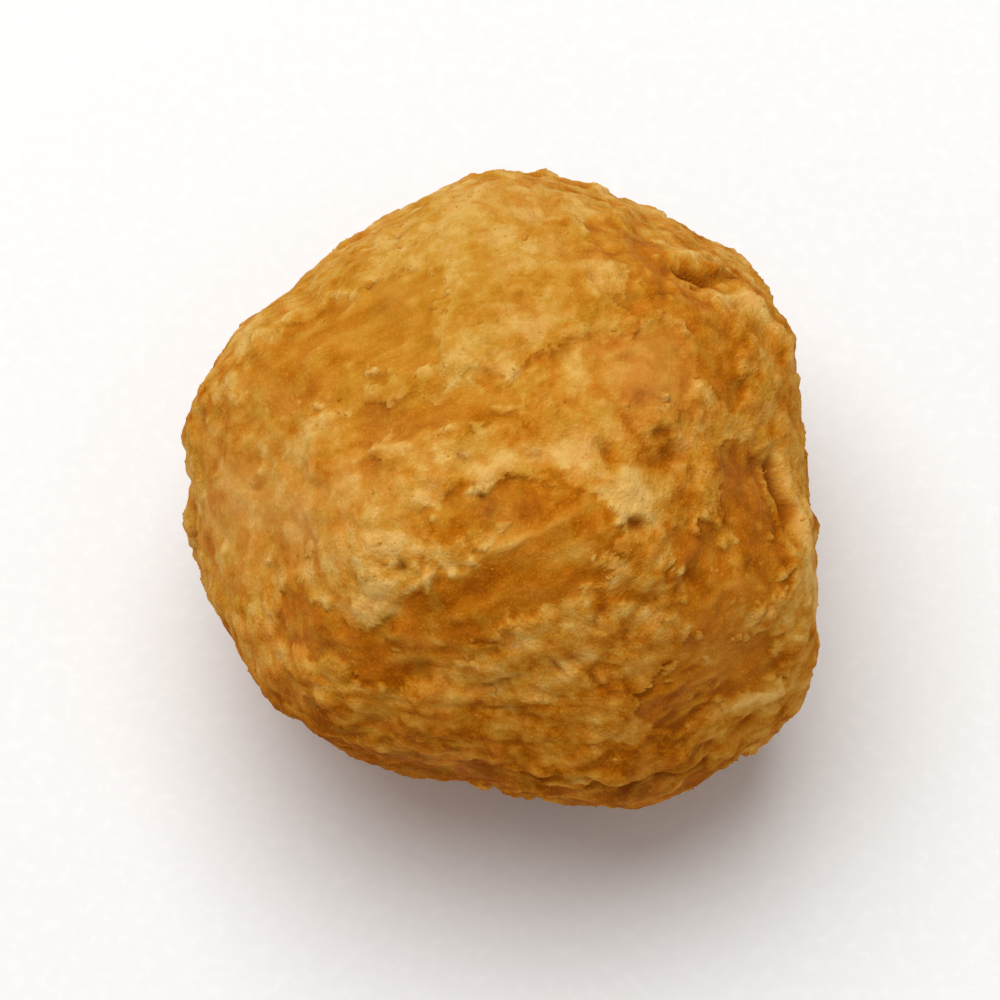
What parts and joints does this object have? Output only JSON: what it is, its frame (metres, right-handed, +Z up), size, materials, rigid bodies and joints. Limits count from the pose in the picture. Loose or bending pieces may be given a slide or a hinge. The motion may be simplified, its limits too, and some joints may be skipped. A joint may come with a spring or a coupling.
{
  "type": "jaggery lump",
  "caption": "Rough hand-pressed lump of unrefined cane sugar, with flattened press faces, folds and small cracks, resting on a flat spot.",
  "frame": {"origin": "bottom centre of the lump's box, in the plane of the flat spot it rests on", "axes": "+Z up, +Y towards the back, which is the lump's longest way across, and +X to its right, as seen from the side that faced the viewer"},
  "size_m": [0.0494, 0.0514, 0.0456],
  "materials": {
    "pressed_sugar": "matte"
  },
  "bodies": {
    "root": {"jaggery_lump": "pressed_sugar"}
  },
  "joints": []
}
